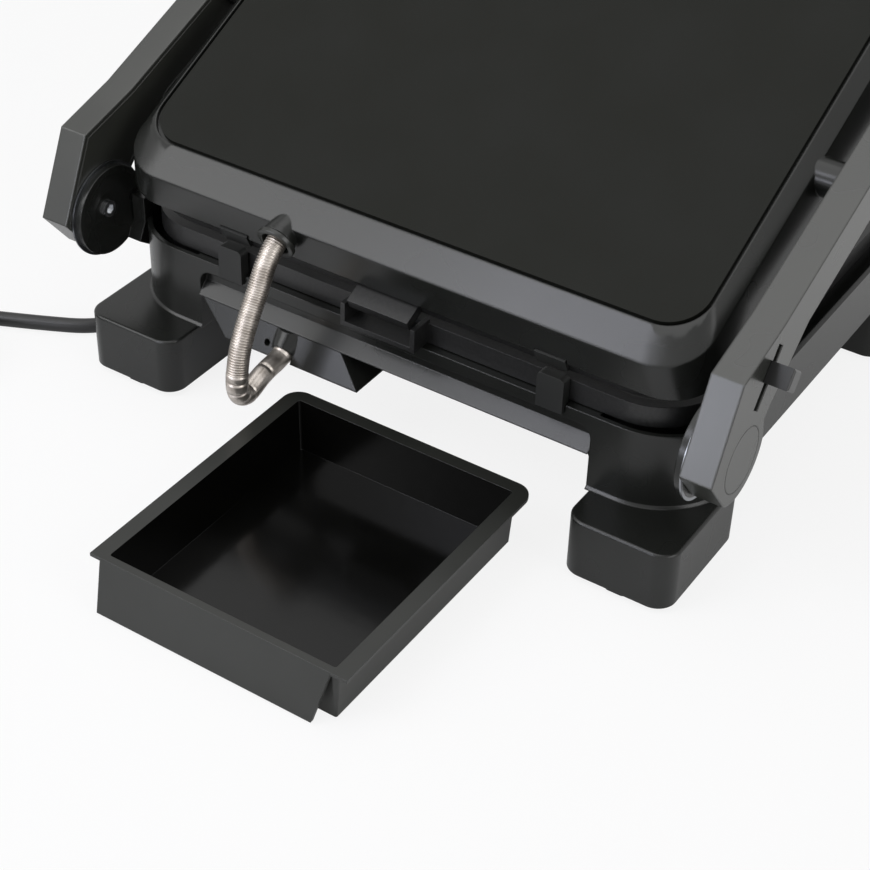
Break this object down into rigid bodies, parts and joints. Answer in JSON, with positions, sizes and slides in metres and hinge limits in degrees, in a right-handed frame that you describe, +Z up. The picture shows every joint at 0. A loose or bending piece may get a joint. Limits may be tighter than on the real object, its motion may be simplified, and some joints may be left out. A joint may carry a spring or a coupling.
{
  "type": "electric grill",
  "caption": "Countertop electric contact grill with a floating hinged lid on side arms, a steel hose between base and lid, and a slide-out drip tray",
  "frame": {"origin": "On the worktop, midway between the four feet", "axes": "+X to the right of a user at the front, +Y to the back, +Z up"},
  "size_m": [0.5232, 0.5164, 0.2374],
  "materials": {
    "housing_plastic": "satin charcoal moulded plastic",
    "hidden_plastic": "plain black moulded plastic inside the grill",
    "rubber": "black rubber",
    "zinc_steel": "zinc-plated steel",
    "plate_coating": "black non-stick coating on cast aluminium",
    "heater_steel": "heat-darkened steel tube",
    "pan_steel": "bright sheet metal",
    "spring_steel": "spring steel",
    "panel_plastic": "glossy black panel",
    "knob_plastic": "satin dark grey knob",
    "lamp_red": "translucent coloured lamp lens",
    "chrome_ring": "polished plated ring",
    "bolt_steel": "bright steel bolt",
    "arm_plastic": "satin charcoal paint on the arms",
    "lid_panel": "matte black finely textured panel",
    "hose_nickel": "nickel-plated wound steel hose",
    "cord_black": "black flexible lead",
    "brass": "plated brass pins",
    "tray_plastic": "glossy black moulded tray"
  },
  "bodies": {
    "base": {"base_housing": "housing_plastic", "base_bottom_cover": "hidden_plastic", "foot_pads": "rubber", "bottom_cover_screws": "zinc_steel", "cable_block": "housing_plastic", "strain_relief": "rubber", "lower_plate": "plate_coating", "lower_heater": "heater_steel", "lower_reflector": "pan_steel", "lower_plate_clips": "housing_plastic", "control_panel": "panel_plastic", "pilot_lamps": "lamp_red", "thermostat": "hidden_plastic", "thermal_fuse": "zinc_steel", "terminal_block": "hidden_plastic", "lower_button_spring": "spring_steel", "hinge_disc_left": "housing_plastic", "hinge_disc_right": "housing_plastic", "hinge_ring_left": "chrome_ring", "hinge_ring_right": "chrome_ring", "pivot_bolt_left": "bolt_steel", "pivot_bolt_right": "bolt_steel", "tray_rails": "hidden_plastic", "steel_hose": "hose_nickel", "power_cord": "cord_black", "cord_tail": "cord_black", "cord_coil": "cord_black", "mains_plug": "cord_black"},
    "arms": {"arm_left": "arm_plastic", "arm_right": "arm_plastic", "arm_cover_left": "housing_plastic", "arm_cover_right": "housing_plastic", "pivot_cap_left": "arm_plastic", "pivot_cap_right": "arm_plastic", "handle_grip": "arm_plastic", "handle_rod": "zinc_steel", "release_spring": "spring_steel"},
    "lid": {"lid_housing": "housing_plastic", "lid_top_panel": "lid_panel", "hose_grommet": "rubber", "lid_pivot_pins": "bolt_steel", "upper_plate": "plate_coating", "upper_heater": "heater_steel", "upper_reflector": "pan_steel", "upper_plate_clips": "housing_plastic", "upper_button_spring": "spring_steel"},
    "tray": {"drip_tray": "tray_plastic"},
    "release": {"release_lever": "knob_plastic"},
    "knob": {"temperature_knob": "knob_plastic", "knob_spindle": "zinc_steel"},
    "lower_button": {"lower_release_button": "knob_plastic"},
    "upper_button": {"upper_release_button": "knob_plastic"}
  },
  "joints": [
    {"name": "arm_hinge", "type": "hinge", "parent": "base", "child": "arms", "pos_m": [0, 0.128, 0.0855], "axis": [-1, 0, 0], "range_deg": [-25.35, 79.65], "deforming": ["steel_hose"]},
    {"name": "lid_float", "type": "hinge", "parent": "arms", "child": "lid", "pos_m": [0, 0.0152, 0.16273], "axis": [1, 0, 0], "range_deg": [0, 12]},
    {"name": "tray_slide", "type": "slide", "parent": "base", "child": "tray", "axis": [0, 1, 0], "range_m": [-0.137, 0]},
    {"name": "release_slide", "type": "slide", "parent": "arms", "child": "release", "axis": [0, -0.6003, 0.7998], "range_m": [0, 0.009], "stiffness_N_per_m": 180, "springref_m": -0.004, "deforming": ["release_spring"]},
    {"name": "temperature_turn", "type": "hinge", "parent": "base", "child": "knob", "pos_m": [0, -0.139, 0.0606], "axis": [0, -1, 0], "range_deg": [-270, 0]},
    {"name": "lower_button_press", "type": "slide", "parent": "base", "child": "lower_button", "axis": [0, 1, 0], "range_m": [0, 0.003], "stiffness_N_per_m": 600, "springref_m": -0.003, "deforming": ["lower_button_spring"]},
    {"name": "upper_button_press", "type": "slide", "parent": "lid", "child": "upper_button", "axis": [0, 0.9037, -0.4281], "range_m": [0, 0.003], "stiffness_N_per_m": 600, "springref_m": -0.003, "deforming": ["upper_button_spring"]}
  ]
}
